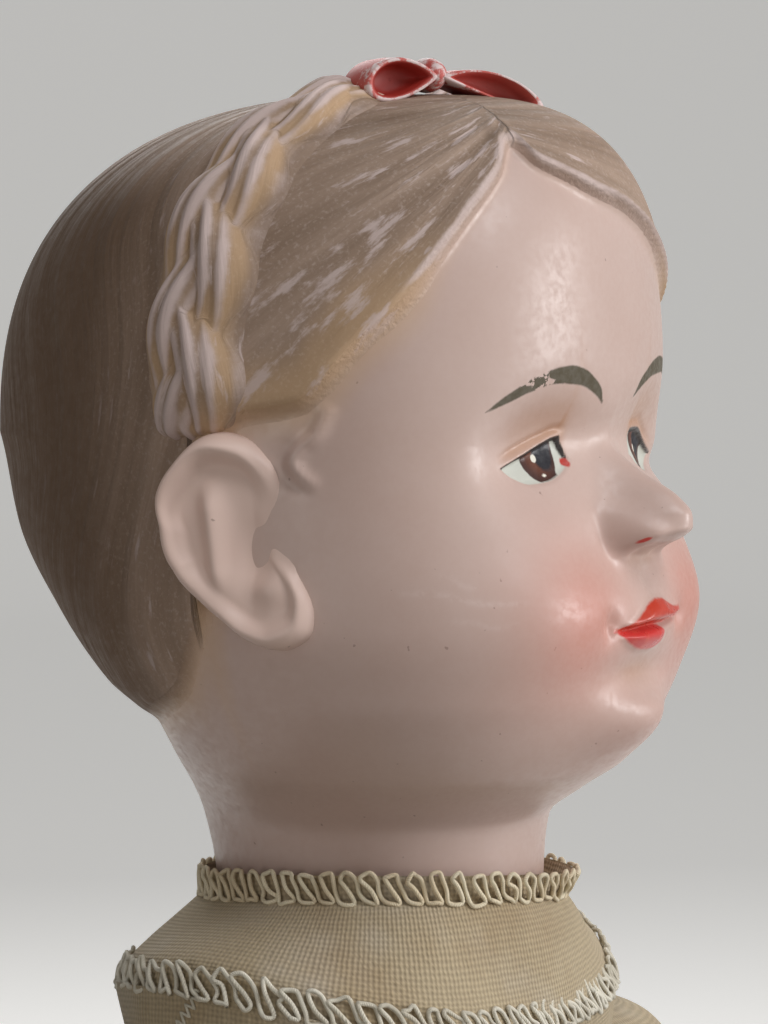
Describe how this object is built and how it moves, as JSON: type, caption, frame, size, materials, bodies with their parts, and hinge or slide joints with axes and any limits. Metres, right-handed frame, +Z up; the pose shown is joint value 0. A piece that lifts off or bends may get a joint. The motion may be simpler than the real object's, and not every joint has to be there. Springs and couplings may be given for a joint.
{
  "type": "composition doll",
  "caption": "Jointed composition doll with moulded plaited hair and a bow, a turning socket head and strung limbs, in a cotton romper with overlocked edgings, socks and strap shoes.",
  "frame": {"origin": "on the floor, under the middle of the doll's bounding box", "axes": "+Z up along the standing doll, -Y the way the face looks, +X towards the doll's own left hand"},
  "size_m": [0.1152, 0.0732, 0.3205],
  "materials": {
    "composition": "satin enamel on moulded sawdust and glue",
    "dowel": "plain turned hardwood",
    "wire": "drawn wire",
    "elastic": "braided cotton-covered elastic",
    "romper_cotton": "plain-weave beige cotton",
    "edging_thread": "looped overlock thread",
    "button": "shell-white button",
    "sock_knit": "fine ribbed cotton knit",
    "shoe_leather": "polished oilcloth leather",
    "sole_leather": "plain pressed leather"
  },
  "bodies": {
    "torso": {"torso_front": "composition", "torso_back": "composition", "bodice": "romper_cotton", "yoke": "romper_cotton", "seat_band": "romper_cotton", "neck_edging": "edging_thread", "yoke_edging": "edging_thread", "back_button_upper": "button", "back_button_middle": "button", "back_button_lower": "button", "arm_elastic": "elastic", "leg_elastic": "elastic"},
    "neck_hook": {"neck_hook": "wire"},
    "head": {"head_front": "composition", "head_back": "composition", "neck_bar": "dowel"},
    "left_arm": {"left_arm": "composition", "left_arm_hook": "wire", "left_sleeve": "romper_cotton", "left_sleeve_edging": "edging_thread"},
    "left_leg": {"left_leg": "composition", "left_leg_hook": "wire", "left_bloomer": "romper_cotton", "left_bloomer_edging": "edging_thread", "left_sock": "sock_knit", "left_shoe_upper": "shoe_leather", "left_shoe_strap": "shoe_leather", "left_shoe_sole": "sole_leather", "left_strap_button": "button"},
    "right_arm": {"right_arm": "composition", "right_arm_hook": "wire", "right_sleeve": "romper_cotton", "right_sleeve_edging": "edging_thread"},
    "right_leg": {"right_leg": "composition", "right_leg_hook": "wire", "right_bloomer": "romper_cotton", "right_bloomer_edging": "edging_thread", "right_sock": "sock_knit", "right_shoe_upper": "shoe_leather", "right_shoe_strap": "shoe_leather", "right_shoe_sole": "sole_leather", "right_strap_button": "button"}
  },
  "joints": [
    {"name": "head_turn", "type": "hinge", "parent": "torso", "child": "neck_hook", "pos_m": [0, -0.00355, 0.238], "axis": [0, 0, 1], "range_deg": [-90, 90], "deforming": ["leg_elastic"]},
    {"name": "head_nod", "type": "hinge", "parent": "neck_hook", "child": "head", "pos_m": [0, -0.00355, 0.238], "axis": [-1, 0, 0], "range_deg": [-8, 8]},
    {"name": "left_shoulder", "type": "hinge", "parent": "torso", "child": "left_arm", "pos_m": [0.0307, -0.00355, 0.206], "axis": [-1, 0, 0], "range_deg": [-60, 120], "deforming": ["arm_elastic"]},
    {"name": "left_hip", "type": "hinge", "parent": "torso", "child": "left_leg", "pos_m": [0.01, -0.00355, 0.142], "axis": [-1, 0, 0], "range_deg": [-25, 90], "deforming": ["leg_elastic"]},
    {"name": "right_shoulder", "type": "hinge", "parent": "torso", "child": "right_arm", "pos_m": [-0.0307, -0.00355, 0.206], "axis": [-1, 0, 0], "range_deg": [-60, 120], "deforming": ["arm_elastic"]},
    {"name": "right_hip", "type": "hinge", "parent": "torso", "child": "right_leg", "pos_m": [-0.01, -0.00355, 0.142], "axis": [-1, 0, 0], "range_deg": [-25, 90], "deforming": ["leg_elastic"]}
  ]
}
